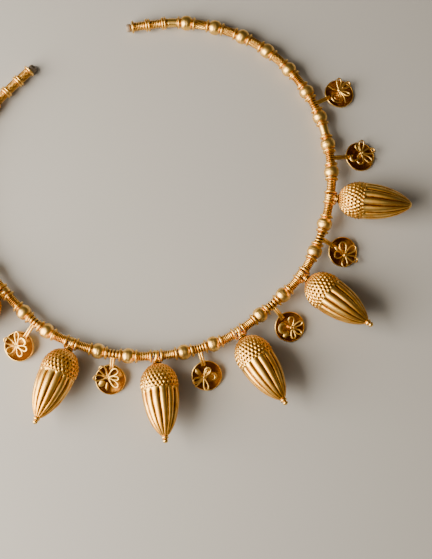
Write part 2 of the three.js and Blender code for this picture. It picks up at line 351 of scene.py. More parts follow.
def metal(name, tones, roughness, bump_mm, patches, metallic=1.0):
    """tones are for raised, middle and hollow places, patches is how far clouds shift them."""
    material = bpy.data.materials.new(name)
    material.use_nodes = True
    tree = material.node_tree
    shader = tree.nodes["Principled BSDF"]
    shader.inputs["Metallic"].default_value = metallic
    place = add_node(tree, "ShaderNodeTexCoord").outputs["Object"]
    hollow = add_node(tree, "ShaderNodeAttribute", attribute_name="hollow").outputs["Fac"]
    cloud = add_noise(tree, place, CLOUD_SIZE, 4)
    grain = add_noise(tree, place, GRAIN_SIZE, 3)
    cloud_shift = add_range(tree, cloud, NOISE_RANGE, (-patches, patches))
    grain_shift = add_range(tree, grain, NOISE_RANGE, (-GRAIN_SHIFT, GRAIN_SHIFT))
    broken = add_sum(tree, add_sum(tree, hollow, cloud_shift), grain_shift)
    depth = add_range(tree, broken, (-1, 1), (0, 1))
    colour = add_ramp(tree, depth, list(zip(TONE_STOPS, tones)))
    tree.links.new(colour, shader.inputs["Base Color"])
    gloss = add_range(tree, depth, GLOSS_RANGE, roughness)
    tree.links.new(gloss, shader.inputs["Roughness"])
    bump = add_node(tree, "ShaderNodeBump")
    bump.inputs["Distance"].default_value = bump_mm * MM
    bump.inputs["Strength"].default_value = BUMP_STRENGTH
    tree.links.new(add_sum(tree, grain, cloud), bump.inputs["Height"])
    tree.links.new(bump.outputs["Normal"], shader.inputs["Normal"])
    return material


# The first tone of each gold is a painted highlight on rubbed gold, and the last is painted shade over a
# brown film.
worked_gold = metal(
    "worked gold",
    tones=[(1.0, 0.62, 0.15), (0.82, 0.37, 0.04), (0.11, 0.032, 0.003)],
    roughness=(0.33, 0.55),
    bump_mm=0.03,
    patches=0.35,
)
burnished_gold = metal(
    "burnished gold",
    tones=[(1.0, 0.63, 0.17), (0.86, 0.37, 0.045), (0.14, 0.04, 0.004)],
    roughness=(0.36, 0.5),
    bump_mm=0.05,
    patches=0.5,
)
end_bead_tarnish = metal(
    "end bead tarnish",
    tones=[(0.30, 0.24, 0.18), (0.13, 0.10, 0.075), (0.03, 0.02, 0.015)],
    roughness=(0.6, 0.9),
    bump_mm=0.1,
    patches=0.35,
    metallic=0.25,
)
print("three metals")

# %% [markdown]
# ## Shaping helpers
# Nearly everything on the necklace is turned or wound from wire. A turned form is a
# profile spun about the strand's direction. Wire is a row of small circles along a
# path, each bridged to the next. Formulas push vertices in and out for lobes, scales
# and granules, which keeps each turned form one closed skin, as sheet gold is.

# %% Turning, carving and wire
WELD = 0.002


def turned(profile, steps):
    """Spins (radius, height) pairs about +Y. The profile starts and ends on the axis."""
    bm = bmesh.new()
    verts = [bm.verts.new((radius, height, 0)) for radius, height in profile]
    edges = [bm.edges.new(pair) for pair in zip(verts, verts[1:])]
    bmesh.ops.spin(
        bm, geom=verts + edges, axis=(0, 1, 0), cent=(0, 0, 0), angle=TAU, steps=steps, use_merge=True
    )
    bmesh.ops.remove_doubles(bm, verts=bm.verts, dist=WELD)
    bmesh.ops.recalc_face_normals(bm, faces=bm.faces)
    return bm


def carve(bm, shape):
    """Moves each vertex to the radius that shape(radius, height, angle) gives."""
    for vert in bm.verts:
        radius = math.hypot(vert.co.x, vert.co.z)
        if radius > 0.01:
            angle = math.atan2(vert.co.x, vert.co.z)
            factor = shape(radius, vert.co.y, angle) / radius
            vert.co.x *= factor
            vert.co.z *= factor


def wobble(bm, amount, size, seed):
    """Pushes the skin in and out a little, as beaten sheet is never true."""
    for vert in bm.verts:
        vert.co += noise.noise_vector(vert.co / size + Vector((seed, 0, 7 * seed))) * amount


def shade(bm, tone):
    """Keeps tone(radius, height, angle) at each vertex: below 0 is painted lighter, as a painted highlight,
    and above 0 painted darker, mostly as painted shade.
    """
    layer = bm.verts.layers.float.get("tone") or bm.verts.layers.float.new("tone")
    for vert in bm.verts:
        radius = math.hypot(vert.co.x, vert.co.z)
        vert[layer] = tone(radius, vert.co.y, math.atan2(vert.co.x, vert.co.z))
    return bm


def evenly(bm, tone):
    return shade(bm, lambda radius, height, angle: tone)


def transform(bm, matrix):
    bmesh.ops.transform(bm, matrix=matrix.to_4x4(), verts=bm.verts)


def joined(*parts):
    """One bmesh holding all the parts, which are freed."""
    bm = bmesh.new()
    for part in parts:
        if "tone" not in part.verts.layers.float:
            evenly(part, 0)
        mesh = bpy.data.meshes.new("part")
        part.to_mesh(mesh)
        part.free()
        bm.from_mesh(mesh)
        bpy.data.meshes.remove(mesh)
    return bm


def edges_at(verts):
    """Each edge at the verts once, always in the same order."""
    return list(dict.fromkeys(edge for vert in verts for edge in vert.link_edges))


def wire(path, radius, sides=8, closed=False):
    """A round wire along the path, its ends closed, or run together where it is a ring."""
    bm = bmesh.new()
    count = len(path)
    ring = []
    for i, point in enumerate(path):
        before = path[i - 1] if i or closed else point
        after = path[(i + 1) % count] if i < count - 1 or closed else point
        turn = (after - before).to_track_quat("Z", "Y").to_matrix().to_4x4()
        place = Matrix.Translation(point) @ turn
        circle = bmesh.ops.create_circle(bm, segments=sides, radius=radius, matrix=place)
        ring.append(edges_at(circle["verts"]))
    pairs = list(zip(ring, ring[1:]))
    if closed:
        pairs.append((ring[-1], ring[0]))
    for first, second in pairs:
        bmesh.ops.bridge_loops(bm, edges=first + second)
    if not closed:
        bmesh.ops.holes_fill(bm, edges=ring[0] + ring[-1], sides=sides)
    bmesh.ops.recalc_face_normals(bm, faces=bm.faces)
    return bm


# %% Hollows and placing
HOLLOW_PASSES = 8
HOLLOW_DEPTH = 0.07
SHARP_ANGLE = math.radians(55)


def mark_hollows(bm):
    """Keeps at each vertex how far it lies below its smoothed surroundings, plus its tone."""
    bm.normal_update()
    smooth = bm.copy()
    for _ in range(HOLLOW_PASSES):
        bmesh.ops.smooth_vert(
            smooth, verts=smooth.verts, factor=0.5, use_axis_x=True, use_axis_y=True, use_axis_z=True
        )
    layer = bm.verts.layers.float.new("hollow")
    tone = bm.verts.layers.float.get("tone") or bm.verts.layers.float.new("tone")
    for sharp, soft in zip(bm.verts, smooth.verts):
        depth = (soft.co - sharp.co).dot(sharp.normal)
        # Points below their surroundings are painted darker, painted shade over a brown film, and the tone
        # adds each form's painted highlight and shade.
        sharp[layer] = max(-1, min(1, depth / HOLLOW_DEPTH + sharp[tone]))
    smooth.free()


triangles = {}


def add_piece(name, bm, node, finish, slot):
    """Turns a finished form into an object that stands for a CAD node."""
    mark_hollows(bm)
    transform(bm, Matrix.Scale(MM, 4) @ Matrix.Translation(shift))
    mesh = bpy.data.meshes.new(name)
    bm.to_mesh(mesh)
    bm.free()
    mesh.shade_smooth()
    mesh.set_sharp_from_angle(angle=SHARP_ANGLE)
    mesh.materials.append(finish)
    piece = bpy.data.objects.new(name, mesh)
    bpy.context.scene.collection.objects.link(piece)
    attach(piece, "root")
    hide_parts(node)
    triangles[name] = sum(len(face.vertices) - 2 for face in mesh.polygons)
    return piece


def lay_along(bm, middle):
    """Bends a form on +Y along the strand, each ring square to it at its own place."""
    for vert in bm.verts:
        distance = round(middle + vert.co.y, 4)
        beside = Vector((vert.co.x, 0, vert.co.z))
        vert.co = strand_point(distance) + strand_frame(distance) @ beside


# %% [markdown]
# ## Tube beads
# Each tube is a rolled strip with a thick and a thin wire soldered round both ends.
# Most are ribbed all along by fine rings, two are plain, one has slanting ribs and a
# few near the back are rough with granules. All share one profile maker, and those
# that aren't ribbed are carved afterwards by a formula.

# %% Tube profiles
TOUCH = 0.26
TUBE_RADIUS = 1.65
TUBE_LENGTH = LENGTHS["t"] + TOUCH
THICK_WIRE = 0.84
THIN_WIRE = 0.3
THIN_WIRE_RADIUS = 1.72
THROAT_RADIUS = 1.3
RIB_DEPTH = 0.26
RIB_SHARE = 0.64


def bump(start, width, low, high, points=5, fullness=1):
    """Half a round wire in section, from its low edge over its high middle."""
    section = []
    for i in range(points):
        turn = math.pi * i / (points - 1)
        radius = low + (high - low) * math.sin(turn) ** fullness
        section.append((radius, start + width * (1 - math.cos(turn)) / 2))
    return section


def ribs(start, length, count, low, high, points=5):
    """Wires side by side, with a gap of flat sheet between each two."""
    step = length / count
    section = []
    for i in range(count):
        rib_start = start + (i + 0.5 - RIB_SHARE / 2) * step
        section += bump(rib_start, RIB_SHARE * step, low, high, points)
    return section


def tube_painted_light(radius, height, angle):
    """Wires that stand out get a painted highlight, and the valleys between them painted shade."""
    return max(-0.6, min(0.85, (TUBE_RADIUS + 0.03 - radius) * 2.4))


def between_flanges(length, barrel):
    """A closed profile with the wires at both ends and barrel(start, length) between."""
    half = length / 2
    ends = bump(-half, THICK_WIRE, THROAT_RADIUS, FLANGE_RADIUS, points=11, fullness=0.6)
    ends += bump(THICK_WIRE - half, THIN_WIRE, THROAT_RADIUS, THIN_WIRE_RADIUS, points=6)[1:]
    inner = half - THICK_WIRE - THIN_WIRE
    mirrored = [(radius, -height) for radius, height in ends[::-1]]
    return [(0, -half), *ends, *barrel(-inner, 2 * inner), *mirrored, (0, half)]


# %% Tube finishes
RIBS_ON_TUBE = 6
TUBE_STEPS = 28
SLANTING_STEPS = 60
GRANULAR_STEPS = 76
SLANTS_AROUND = 12
GRANULES_AROUND = 12
GRANULE_ROWS = 5
GRANULE_HEIGHT = 0.24


def ribbed_tube(count, length=TUBE_LENGTH, depth=RIB_DEPTH):
    low = TUBE_RADIUS - depth
    bm = turned(between_flanges(length, lambda s, n: ribs(s, n, count, low, TUBE_RADIUS)), TUBE_STEPS)
    return shade(bm, tube_painted_light)


def plain_barrel(start, length, points=25):
    """A barrel without rings, a trifle fuller in the middle."""
    middle = start + length / 2
    heights = [start + length * (i + 0.5) / points for i in range(points)]
    return [(TUBE_RADIUS - 0.05 - 0.03 * (1 - abs(h - middle) / length), h) for h in heights]


def carved_tube(steps, relief):
    """A plain tube whose barrel takes relief(height share, angle) in millimetres."""
    bm = turned(between_flanges(TUBE_LENGTH, plain_barrel), steps)
    inner = TUBE_LENGTH / 2 - THICK_WIRE - THIN_WIRE
    carve(bm, lambda r, h, a: r + (relief(h / inner, a) if abs(h) < inner else 0))
    return shade(bm, tube_painted_light)


def slanting_relief(height, angle):
    return 0.13 * math.sin(SLANTS_AROUND * angle + 9 * height) - 0.06


def granular_relief(height, angle):
    along = height * GRANULE_ROWS
    row = round(along)
    lump = math.cos(GRANULES_AROUND * angle + math.pi * row) * math.cos(math.pi * (along - row))
    return GRANULE_HEIGHT * max(0, lump) ** 0.6 - 0.1


def plain_relief(height, angle):
    """A fine line scored near each end."""
    return -0.07 * math.exp(-((abs(height) - 0.8) / 0.06) ** 2)


def tube_bead(kind):
    if kind == "plain":
        return carved_tube(TUBE_STEPS, plain_relief)
    if kind == "slanting":
        return carved_tube(SLANTING_STEPS, slanting_relief)
    if kind == "granular":
        return carved_tube(GRANULAR_STEPS, granular_relief)
    return ribbed_tube(RIBS_ON_TUBE)


# %% [markdown]
# ## Round beads
# The round beads are burnished globes, made of two beaten halves joined at the middle,
# with a small collar at each hole. A spun arc gives the globe. A slow wobble and a
# faint seam keep them from looking machined, and the globe is trimmed a little so that
# the wobble stays above the floor.

# %% Round bead
BEAD_LENGTH = LENGTHS["b"] + TOUCH
BEAD_END_RADIUS = 1.45
BEAD_STEPS = 40
BEAD_RINGS = 13
COLLAR_WIDTH = 0.32
COLLAR_HEIGHT = 0.22
SEAM_DEPTH = 0.07
SEAM_WIDTH = 0.12
BEAD_TRIM = 0.06
WOBBLE = 0.1


def round_bead(seed):
    half = BEAD_LENGTH / 2
    arc_half = half / math.sqrt(1 - (BEAD_END_RADIUS / BEAD_RADIUS) ** 2)
    inner = half - COLLAR_WIDTH
    turns = [math.pi / 2 * i / BEAD_RINGS for i in range(-BEAD_RINGS, BEAD_RINGS + 1)]
    heights = [inner * math.sin(turn) for turn in turns]
    globe = [(BEAD_RADIUS * math.sqrt(1 - (h / arc_half) ** 2), h) for h in heights]
    collar = bump(-half, COLLAR_WIDTH, BEAD_END_RADIUS, BEAD_END_RADIUS + COLLAR_HEIGHT, 6)
    mirrored = [(radius, -height) for radius, height in collar[::-1]]
    bm = turned([(0, -half), *collar, *globe, *mirrored, (0, half)], BEAD_STEPS)
    # The collars at the holes are painted dark: painted shade in the recess beside the globe.
    shade(bm, lambda r, h, a: 0.9 if abs(h) > inner - 0.02 else 0)
    carve(bm, lambda r, h, a: r - SEAM_DEPTH * math.exp(-((h / SEAM_WIDTH) ** 2)) - BEAD_TRIM)
    wobble(bm, WOBBLE, 1.7, seed)
    return bm


# %% [markdown]
# ## End beads
# A small dull bead ends the strand on either side, with the dark hole for the tie. It
# is a ring: a rounded section spun round the hole, so the hole really goes through.
# The left one has tipped over a little.

# %% End bead
END_BEAD_LENGTH = 1.7
END_BEAD_RADIUS = 1.55
END_BEAD_BORE = 0.55
END_BEAD_SIDES = 20
END_BEAD_STEPS = 36
END_BEAD_TIPS = {"right": 0, "left": 35}


def end_bead(side, along):
    middle = (END_BEAD_RADIUS + END_BEAD_BORE) / 2
    reach = (END_BEAD_RADIUS - END_BEAD_BORE) / 2
    bm = bmesh.new()
    place = Matrix.Translation((middle, 0, 0)) @ Matrix.Diagonal((reach, END_BEAD_LENGTH / 2, 1, 1))
    section = bmesh.ops.create_circle(bm, segments=END_BEAD_SIDES, radius=1, matrix=place)
    geom = section["verts"] + list(bm.edges)
    bmesh.ops.spin(
        bm, geom=geom, axis=(0, 1, 0), cent=(0, 0, 0), angle=TAU, steps=END_BEAD_STEPS, use_merge=True
    )
    bmesh.ops.remove_doubles(bm, verts=bm.verts, dist=WELD)
    bmesh.ops.recalc_face_normals(bm, faces=bm.faces)
    wobble(bm, 0.06, 0.8, 3)
    transform(bm, Matrix.Rotation(math.radians(END_BEAD_TIPS[side]), 3, "X"))
    transform(bm, frame_beside(Vector((along.x, along.y, 0)).normalized()))
    lowest = min(vert.co.z for vert in bm.verts)
    transform(bm, Matrix.Translation((0, 0, -lowest)))
    return bm


# %% [markdown]
# ## Coming to rest
# A pendant hangs from its own loop or tube, so on a table it tips about the strand
# until its lowest point touches. The tipping is found by halving the range again and
# again, with the finished form, so each pendant really lies on the floor.

# %% Tipping a pendant
MOST_TIPPING = 0.7
HALVINGS = 24


def tip_to_rest(bm, height):
    """Turns a form about the strand until its lowest point is at the height."""
    points = [(vert.co.x, vert.co.z) for vert in bm.verts]
    low, high = -MOST_TIPPING, MOST_TIPPING
    for _ in range(HALVINGS):
        turn = (low + high) / 2
        lowest = min(z * math.cos(turn) - x * math.sin(turn) for x, z in points)
        low, high = (turn, high) if lowest > height else (low, turn)
    transform(bm, Matrix.Rotation(turn, 3, "Y"))


# %% [markdown]
# ## Acorns
# An acorn has a wound wire loop, a short coiled neck, a cap of pointed scales, a nut
# with thirteen rounded lobes that run together, and a knop at the tip. The cap and the
# nut are turned and carved. The scales are keeled lozenges with pits between them, and
# rows are set half a scale apart, as tiles are.

# %% Acorn cap
NECK_START = 0.6
NECK_COILS_START = 1.7
NECK_COILS_LENGTH = 1.15
NECK_COIL_HEIGHT = 0.35
CAP_START = 2.85
CAP_LENGTH = 9.6
CAP_RADIUS = 6.6
CAP_RIM_RADIUS = 6.35
CAP_WIDEST = 0.78 * CAP_LENGTH
CAP_LIP = 0.45
CAP_FLOOR_RADIUS = 5.2
NECK_RADIUS = 1.25
SCALES_START = CAP_START + 0.2
SCALES_AROUND = 28
SCALE_ROW = 1.3
SCALE_HEIGHT = 0.66
SCALE_LEVEL = 0.9
CAP_BAND = 0.15
CAP_STEPS = 224


def scale_relief(around, along):
    """Keeled scales set half a step apart, from 0 in the pits between them to 1 on their keels."""
    pointed = along + 0.13 * math.sin(TAU * along)
    row = round(pointed)
    swell = math.cos(TAU * around) * math.cos(math.pi * pointed)
    beside = abs((around + 0.5 * (row % 2) + 0.5) % 1 - 0.5)
    keel = max(0, 1 - beside / 0.3) * math.cos(math.pi * (pointed - row))
    return 0.85 * (1 - (0.5 - 0.5 * swell) ** 2.2) + 0.15 * keel


def scale_row(height):
    """How many rows of scales lie above a height, evenly spaced over the dome."""
    dome = min(1, (height - CAP_START) / CAP_WIDEST)
    below = max(0, height - CAP_START - CAP_WIDEST)
    return (math.acos(1 - dome) * (CAP_RADIUS + CAP_WIDEST) / 2 + below) / SCALE_ROW


def cap_profile():
    """(radius, height) from the neck over the dome to the rolled-in rim."""
    neck = [(0, NECK_START), (NECK_RADIUS, NECK_START), (NECK_RADIUS, NECK_COILS_START)]
    coil_radius = NECK_RADIUS + NECK_COIL_HEIGHT
    neck += ribs(NECK_COILS_START, NECK_COILS_LENGTH, 2, NECK_RADIUS, coil_radius, 6)
    turns = [math.pi / 2 * i / 70 for i in range(13, 71)]
    dome = [(CAP_RADIUS * math.sin(t), CAP_START + CAP_WIDEST * (1 - math.cos(t))) for t in turns]
    flank = []
    for i in range(1, 17):
        share = i / 16
        radius = CAP_RADIUS - (CAP_RADIUS - CAP_RIM_RADIUS) * share**2
        flank.append((radius, CAP_START + CAP_WIDEST + (CAP_LENGTH - CAP_WIDEST) * share))
    end = CAP_START + CAP_LENGTH
    closing = [(CAP_RIM_RADIUS - CAP_LIP, end + 0.02), (CAP_FLOOR_RADIUS, end - 0.1), (0, end - 0.1)]
    return [*neck, *dome, *flank, *closing]


def acorn_cap(seed):
    bm = turned(cap_profile(), CAP_STEPS)
    end = CAP_START + CAP_LENGTH

    def shape(radius, height, angle):
        inside = radius < CAP_FLOOR_RADIUS + 0.1 and height > CAP_START + CAP_WIDEST
        if inside or not SCALES_START <= height <= end - CAP_BAND:
            return radius
        relief = scale_relief(SCALES_AROUND * angle / TAU, scale_row(height))
        return radius + SCALE_HEIGHT * min(1, radius / 2) * (relief - SCALE_LEVEL)

    # Painted shade in the pits between the scales, a painted highlight on their keels, and a paler band on
    # the rolled rim, a painted highlight.
    def tone(radius, height, angle):
        if height < SCALES_START:
            return 0
        if height > end - CAP_BAND:
            return -0.3
        return 1.0 - 1.6 * scale_relief(SCALES_AROUND * angle / TAU, scale_row(height))

    shade(bm, tone)
    carve(bm, shape)
    wobble(bm, WOBBLE, 2.5, seed)
    return bm


# %% Acorn nut and knop
NUT_LENGTH = 16.5
NUT_RADIUS = 6.35
NUT_LOBES = 13
GROOVE_DEPTH = 0.8
SHOULDER = 0.45
KNOP_LENGTH = 1.7
KNOP_RADIUS = 0.9
KNOP_NECK = 0.7
KNOP_COLLAR_HEIGHT = 0.5
BARE_TIP = 0.7
NUT_STEPS = 182
NUT_RINGS = 60


def beside_lobe(angle):
    """0 on the middle of a lobe and 1 in the groove between two."""
    return abs(2 * ((NUT_LOBES * angle / TAU) % 1) - 1)


def knop_profile(tip):
    collar = bump(tip - 0.65, 0.95, KNOP_NECK, KNOP_NECK + KNOP_COLLAR_HEIGHT, 9)
    ball_start = tip + 0.2
    middle = (ball_start + tip + KNOP_LENGTH) / 2
    reach = tip + KNOP_LENGTH - middle
    turns = [math.pi * i / 10 for i in range(2, 10)]
    ball = [(KNOP_RADIUS * math.sin(t), middle - reach * math.cos(t)) for t in turns]
    return [*collar, *ball, (0, tip + KNOP_LENGTH)]


def acorn_nut(has_knop, seed):
    start = CAP_START + CAP_LENGTH
    tip = start + NUT_LENGTH
    shares = [(i / NUT_RINGS) ** 0.85 * 0.985 for i in range(NUT_RINGS + 1)]
    rings = [(NUT_RADIUS * (1 - s**2.1) ** 0.75, start + NUT_LENGTH * s) for s in shares]
    rings = [ring for ring in rings if ring[1] < tip - BARE_TIP]
    end = knop_profile(tip) if has_knop else [(KNOP_NECK * 0.8, tip - 0.35), (0, tip - 0.25)]
    bm = turned([(0, start - 0.4), (5.0, start - 0.4), (5.6, start - 0.2), *rings, *end], NUT_STEPS)

    # Painted shadow in a band under the cap's rim, painted shade in the grooves between the lobes, and a
    # paler tip and knop, a painted highlight.
    def tone(radius, height, angle):
        if height > tip - BARE_TIP:
            return -0.2
        if height < start + 0.25:
            return 0.8
        return 0.85 * beside_lobe(angle) ** 3 + 0.05

    def shape(radius, height, angle):
        if height < start or height > tip - BARE_TIP:
            return radius
        ridge = (1 - beside_lobe(angle) ** 2.4) ** 0.7
        shoulder = min(1, (height - start) / SHOULDER)
        arch = math.sqrt(1 - (1 - shoulder) ** 2)
        depth = GROOVE_DEPTH * min(1, radius / NUT_RADIUS + 0.12) * min(1, radius / 1.6)
        return radius - depth * (1 - ridge * arch)

    shade(bm, tone)
    carve(bm, shape)
    wobble(bm, WOBBLE, 6, seed + 11)
    return bm


# %% Acorn loop
LOOP_LENGTH = LENGTHS["a"] + TOUCH
LOOP_RADIUS = 2.0
COIL_STEPS = 24
FLAT_SPOT_DEPTH = 0.3


def wound_loop(coils):
    """Wire wound round the strand, its coils side by side."""
    radius = LOOP_LENGTH / coils / 2
    reach = LOOP_LENGTH / 2 - radius
    away = LOOP_RADIUS - radius
    steps = COIL_STEPS * coils
    path = []
    for i in range(steps + 1):
        turn = -math.pi / 2 + TAU * (coils - 0.5) * i / steps
        height = -reach + 2 * reach * i / steps
        path.append(Vector((away * math.cos(turn), height, away * math.sin(turn))))
    return wire(path, radius * 0.97, 8)


def acorn(height, direction, has_knop, coils, seed):
    """An acorn at rest, with a small flat spot where its own weight has pressed it."""
    body = joined(acorn_cap(seed), acorn_nut(has_knop, seed))
    transform(body, Matrix.Rotation(-math.pi / 2, 3, "Z"))
    tip_to_rest(body, -height - FLAT_SPOT_DEPTH)
    for vert in body.verts:
        vert.co.z = max(vert.co.z, -height)
    loop = wound_loop(coils)
    transform(loop, frame_beside(direction))
    return joined(body, loop)


# %% [markdown]
# ## Rosettes
# A rosette hangs from its own short tube by a flat double-ridged strip. Its disc is
# dished with a wire soldered round the edge, and about six petals of bent wire stand
# over it on a short stem. A few petals have a ring inside, or are a horn or a cushion of
# sheet. They have been knocked about, so every petal gets its own tilt and twist, and
# each flower sits a little off centre.

# %% Rosette disc and strip
ROSETTE_TUBE_LENGTH = LENGTHS["r"] + TOUCH
ROSETTE_RIB_DEPTH = 0.42
DISC_RADIUS = 5.35
DISC_BACK = 0.45
DISC_WIRE = 0.28
DISC_STEPS = 96
STRIP_WIDTH = 1.7
STRIP_START = 0.9
STRIP_STEPS = 12
STRIP_ARCH = 0.35
STRIP_LAP = 1.7


def rosette_disc(seed):
    """The dished disc, its face towards +Z."""
    edge = DISC_RADIUS - DISC_WIRE
    turns = [math.pi * (i / 8 - 0.5) for i in range(9)]
    rim = [(edge + DISC_WIRE * math.cos(t), 0.22 + DISC_WIRE * math.sin(t)) for t in turns]
    back = [(0, -DISC_BACK), (3.6, -DISC_BACK), (4.7, -0.32), (edge, -0.15)]
    dish = []
    for i in range(23):
        share = i / 22
        depth = 0.52 * math.sin(math.pi / 2 * min(1, 2.2 * share))
        dish.append((edge - 0.12 - (edge - 0.3) * share, 0.34 - depth))
    bm = turned([*back, *rim, *dish, (0, dish[-1][1])], DISC_STEPS)
    # The rim wire is painted lighter, a painted highlight, and the dish is painted darker.
    shade(bm, lambda r, h, a: -0.5 if r > edge - 0.05 else 0.5)
    wobble(bm, WOBBLE, 3.5, seed)
    transform(bm, Matrix.Rotation(math.pi / 2, 3, "X"))
    return bm


def rosette_strip(end):
    """The double-ridged strip from the tube on to the disc's edge."""
    half = STRIP_WIDTH / 2
    bm = bmesh.new()
    turns = [math.pi * i / 6 for i in range(7)]
    ridge = [(half / 2 * (1 - math.cos(t)) - half, 0.1 + 0.42 * math.sin(t)) for t in turns]
    top = ridge + [(y + half, z) for y, z in ridge[1:]]
    outline = [*top, (half, -0.05), (-half, -0.05)]
    verts = [bm.verts.new((STRIP_START, y, z)) for y, z in outline]
    edges = [bm.edges.new(pair) for pair in zip(verts, verts[1:] + verts[:1])]
    bmesh.ops.holes_fill(bm, edges=edges, sides=0)
    loop = edges
    for i in range(STRIP_STEPS):
        made = bmesh.ops.extrude_edge_only(bm, edges=loop)["geom"]
        moved = [item for item in made if isinstance(item, bmesh.types.BMVert)]
        loop = [e for e in made if isinstance(e, bmesh.types.BMEdge) and all(v in moved for v in e.verts)]
        arch = [STRIP_ARCH * math.sin(math.pi * j / STRIP_STEPS) for j in (i, i + 1)]
        step = Vector(((end - STRIP_START) / STRIP_STEPS, 0, arch[1] - arch[0]))
        bmesh.ops.translate(bm, vec=step, verts=moved)
        widen = 1.03 if i > STRIP_STEPS * 0.6 else 0.99
        middle = Matrix.Translation((-moved[0].co.x, 0, 0))
        bmesh.ops.scale(bm, vec=(1, widen, 1), space=middle, verts=moved)
    bmesh.ops.holes_fill(bm, edges=loop, sides=0)
    bmesh.ops.recalc_face_normals(bm, faces=bm.faces)
    return bm


# %% Petals
PETAL_START = 0.45
PETAL_HEIGHT = 1.35
PETAL_WIRE = 0.28
PETAL_CUP = 0.7
PETAL_ARCH = 0.15
# Petal wires and horns are painted lighter, a painted highlight, and plates of sheet darker, painted shade.
WIRE_HIGHLIGHT_TONE = -0.5
PLATE_SHADE_TONE = 0.45
STEM_STEPS = 20
BOSS_HEIGHT = 2.1
BOSSES = {"ball": (0.68, BOSS_HEIGHT), "bead": (0.4, PETAL_HEIGHT + 0.35)}


def teardrop(reach, half_width, share=1.0, steps=20):
    """Points round a loop along +X that is widest towards its outer end."""
    length = reach - PETAL_START
    points = []
    for i in range(steps):
        turn = TAU * i / steps
        out = (1 - math.cos(turn)) / 2
        beside = share * half_width * math.sin(turn) * (0.4 + 0.8 * out)
        points.append(Vector((PETAL_START + length * (0.5 + share * (out - 0.5)), beside, 0)))
    return points


def plate(reach, half_width):
    """A petal of sheet, cushioned and low."""
    bm = bmesh.new()
    length = 1.15 * reach - PETAL_START
    place = Matrix.Translation((PETAL_START + 0.58 * length, 0, -0.3))
    bmesh.ops.create_uvsphere(bm, u_segments=18, v_segments=8, radius=1, matrix=place)
    size = (0.3 * length, 0.88 * half_width, 0.3)
    bmesh.ops.scale(bm, vec=size, space=place.inverted(), verts=bm.verts)
    return bm


def crescent(reach, half_width):
    """A thick horn-shaped petal, open towards the middle."""
    bm = bmesh.new()
    ring = []
    for i in range(15):
        turn = math.radians(-125 + 250 * i / 14)
        along = reach - half_width + (half_width - 0.3) * math.cos(turn)
        middle = Vector((along, half_width * math.sin(turn), 0))
        thick = half_width * (0.1 + 0.32 * math.cos(turn / 1.5))
        facing = Vector((math.cos(turn), math.sin(turn), 0)).to_track_quat("X", "Z").to_matrix().to_4x4()
        place = Matrix.Translation(middle) @ facing @ Matrix.Rotation(math.pi / 2, 4, "X")
        section = place @ Matrix.Diagonal((thick, 0.24, 1, 1))
        circle = bmesh.ops.create_circle(bm, segments=10, radius=1, matrix=section)
        ring.append(edges_at(circle["verts"]))
    for first, second in zip(ring, ring[1:]):
        bmesh.ops.bridge_loops(bm, edges=first + second)
    bmesh.ops.holes_fill(bm, edges=ring[0] + ring[-1], sides=10)
    bmesh.ops.recalc_face_normals(bm, faces=bm.faces)
    return bm


def bent_wire(reach, sideways):
    """A petal that has come open, one wire bowed to the side."""
    path = []
    for i in range(11):
        along = PETAL_START + (reach - PETAL_START) * i / 10
        path.append(Vector((along, sideways * math.sin(math.pi * i / 10), 0)))
    return wire(path, PETAL_WIRE)


def petal_form(kind, reach, half_width):
    """A petal before it is bent, lying along +X."""
    # Wires get the painted highlight tone, plates the painted shade tone.
    if kind == "plate":
        return evenly(plate(reach, half_width), PLATE_SHADE_TONE)
    if kind == "crescent":
        return evenly(crescent(reach, half_width), WIRE_HIGHLIGHT_TONE)
    if kind == "wire":
        return evenly(bent_wire(reach, half_width), WIRE_HIGHLIGHT_TONE)
    loop = evenly(wire(teardrop(reach, half_width), PETAL_WIRE, closed=True), WIRE_HIGHLIGHT_TONE)
    if kind == "ring":
        inner = wire(teardrop(reach, half_width, 0.5, 14), PETAL_WIRE * 0.7, closed=True)
        return joined(loop, inner)
    return loop


def petal(kind, degrees, reach, half_width, seed):
    """One petal at an angle from +X, cupped, and knocked a little out of true."""
    bm = petal_form(kind, reach, half_width)
    cup = PETAL_CUP if kind in ("loop", "ring", "wire") else 0
    shake = noise.noise_vector((seed * 1.7, degrees * 0.31, 0.5))
    for vert in bm.verts:
        out = max(0, vert.co.x / reach)
        arch = PETAL_ARCH * math.sin(math.pi * min(1, out)) * (0.5 + shake.z)
        vert.co.z += cup * out**2 + arch
    tilt = Matrix.Rotation(0.12 * shake.x, 3, "Y") @ Matrix.Rotation(0.22 * shake.y, 3, "X")
    transform(bm, Matrix.Rotation(math.radians(degrees), 3, "Z") @ tilt)
    return bm


# %% Flower
def flower_boss(kind):
    """What stands in the middle: a ball, a little ring, or a bead where the ball has gone."""
    if kind == "ring":
        steps = [TAU * i / 16 for i in range(16)]
        path = [Vector((0.5 * math.cos(t), 0.5 * math.sin(t), BOSS_HEIGHT - 0.35)) for t in steps]
        return wire(path, 0.25, closed=True)
    bm = bmesh.new()
    radius, top = BOSSES[kind]
    place = Matrix.Translation((0, 0, top - radius))
    bmesh.ops.create_uvsphere(bm, u_segments=20, v_segments=12, radius=radius, matrix=place)
    return bm


